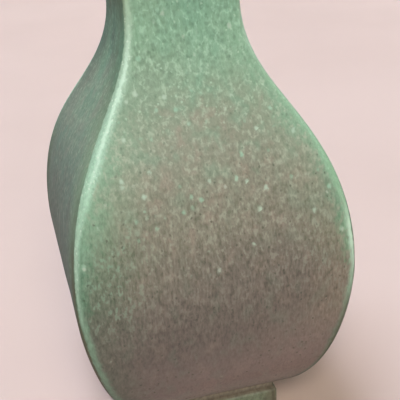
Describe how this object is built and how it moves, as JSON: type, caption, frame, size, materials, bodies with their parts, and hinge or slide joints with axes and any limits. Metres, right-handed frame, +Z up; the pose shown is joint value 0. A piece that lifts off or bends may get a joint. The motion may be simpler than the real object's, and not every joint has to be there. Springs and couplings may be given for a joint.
{
  "type": "square baluster vase",
  "caption": "Square baluster vase of luted clay slabs: swelling belly, narrow neck, flared mouth and low foot, under a mottled green and brown glaze.",
  "frame": {"origin": "middle of the square foot, on the surface that the vase stands on", "axes": "+Z up along the vase's axis, -Y out of the front wall, +X towards the right wall"},
  "size_m": [0.15, 0.15, 0.3],
  "materials": {
    "wall_glaze": "satin",
    "foot_glaze": "satin",
    "lip_glaze": "satin",
    "floor_glaze": "satin",
    "coil_glaze": "satin"
  },
  "bodies": {
    "root": {"front_wall": "wall_glaze", "right_wall": "wall_glaze", "back_wall": "wall_glaze", "left_wall": "wall_glaze", "front_foot_rail": "foot_glaze", "right_foot_rail": "foot_glaze", "back_foot_rail": "foot_glaze", "left_foot_rail": "foot_glaze", "front_lip_strip": "lip_glaze", "right_lip_strip": "lip_glaze", "back_lip_strip": "lip_glaze", "left_lip_strip": "lip_glaze", "floor_slab": "floor_glaze", "front_right_coil": "coil_glaze", "back_right_coil": "coil_glaze", "back_left_coil": "coil_glaze", "front_left_coil": "coil_glaze"}
  },
  "joints": []
}
